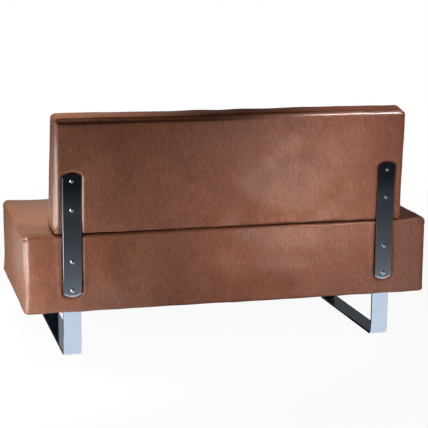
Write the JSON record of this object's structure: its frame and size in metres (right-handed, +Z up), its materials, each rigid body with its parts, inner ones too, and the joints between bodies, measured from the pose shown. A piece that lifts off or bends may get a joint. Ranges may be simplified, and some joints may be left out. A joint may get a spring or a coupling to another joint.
{
  "type": "waiting room sofa",
  "caption": "Armless waiting room sofa: boxed leatherette seat, separate wedge back on bent chrome bars, and chrome flat-bar sled legs.",
  "frame": {"origin": "middle of the floor rectangle under the whole sofa, at floor level", "axes": "+X to the sitter's left along the sofa's length, -Y to the front where the sitter faces, +Z up"},
  "size_m": [1.406, 0.6758, 0.8147],
  "materials": {
    "leatherette": "semi-gloss brown leatherette",
    "foam": "open cell foam",
    "lining": "black non-woven lining",
    "pine": "planed",
    "plywood": "sanded birch plywood",
    "chrome": "polished",
    "zinc_steel": "bright zinc",
    "plastic": "matt black"
  },
  "bodies": {
    "root": {"seat_cover": "leatherette", "back_cover": "leatherette", "seat_foam": "foam", "back_foam": "foam", "seat_dust_cloth": "lining", "back_dust_cloth": "lining", "seat_front_rail": "pine", "seat_rear_rail": "pine", "seat_left_rail": "pine", "seat_right_rail": "pine", "seat_cross_rail": "pine", "leg_bearer_left": "pine", "leg_bearer_right": "pine", "corner_block_front_left": "pine", "corner_block_front_right": "pine", "corner_block_rear_left": "pine", "corner_block_rear_right": "pine", "seat_deck": "plywood", "back_panel": "plywood", "back_bar_left": "chrome", "back_bar_right": "chrome", "leg_left": "chrome", "leg_right": "chrome", "seat_bolt_left_lower": "zinc_steel", "seat_bolt_left_upper": "zinc_steel", "seat_bolt_right_lower": "zinc_steel", "seat_bolt_right_upper": "zinc_steel", "seat_tnut_left_lower": "zinc_steel", "seat_tnut_left_upper": "zinc_steel", "seat_tnut_right_lower": "zinc_steel", "seat_tnut_right_upper": "zinc_steel", "back_bolt_left_lower": "zinc_steel", "back_bolt_left_upper": "zinc_steel", "back_bolt_right_lower": "zinc_steel", "back_bolt_right_upper": "zinc_steel", "back_tnut_left_lower": "zinc_steel", "back_tnut_left_upper": "zinc_steel", "back_tnut_right_lower": "zinc_steel", "back_tnut_right_upper": "zinc_steel", "leg_screw_left_front_outer": "zinc_steel", "leg_screw_left_front_inner": "zinc_steel", "leg_screw_left_rear_outer": "zinc_steel", "leg_screw_left_rear_inner": "zinc_steel", "leg_screw_right_front_outer": "zinc_steel", "leg_screw_right_front_inner": "zinc_steel", "leg_screw_right_rear_outer": "zinc_steel", "leg_screw_right_rear_inner": "zinc_steel", "glide_front_left": "plastic", "glide_front_right": "plastic", "glide_rear_left": "plastic", "glide_rear_right": "plastic"}
  },
  "joints": []
}
